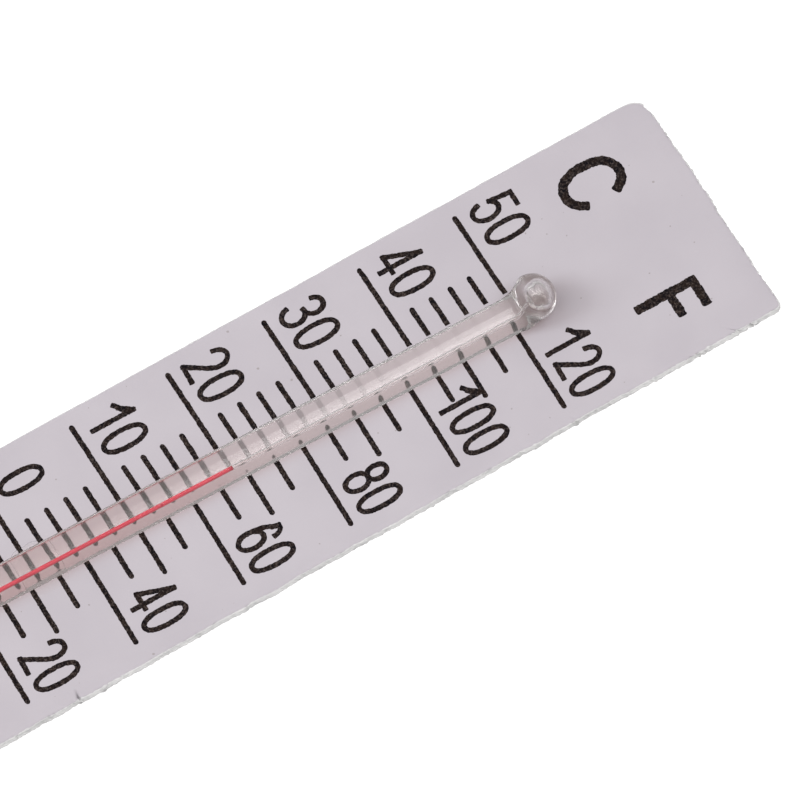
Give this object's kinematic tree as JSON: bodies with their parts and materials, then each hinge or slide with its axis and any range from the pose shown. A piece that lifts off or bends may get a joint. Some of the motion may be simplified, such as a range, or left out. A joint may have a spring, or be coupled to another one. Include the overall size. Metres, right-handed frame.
{
  "type": "glass thermometer",
  "caption": "Sealed glass spirit thermometer glued to a flat printed board with a Celsius and a Fahrenheit scale; the red thread rises and falls in the bore.",
  "frame": {"origin": "centre of the board's back face, which lies on z = 0", "axes": "+X along the board towards the top of the scale, +Y towards the Celsius side, +Z out of the printed face"},
  "size_m": [0.132, 0.028, 0.006],
  "materials": {
    "board": "matte",
    "glass": "gloss",
    "spirit": "gloss",
    "adhesive": "gloss"
  },
  "bodies": {
    "mounted_glass": {"board": "board", "stem": "glass", "bulb": "glass", "tip": "glass", "bulb_spirit": "spirit", "spirit_thread": "spirit", "adhesive_lower": "adhesive", "adhesive_middle": "adhesive"},
    "thread_top": {"meniscus": "spirit"}
  },
  "joints": [
    {"name": "spirit_rise", "type": "slide", "parent": "mounted_glass", "child": "thread_top", "axis": [0.9998, -0.0178, 0.0016], "range_m": [-0.05501, 0.033], "deforming": ["spirit_thread"]}
  ]
}
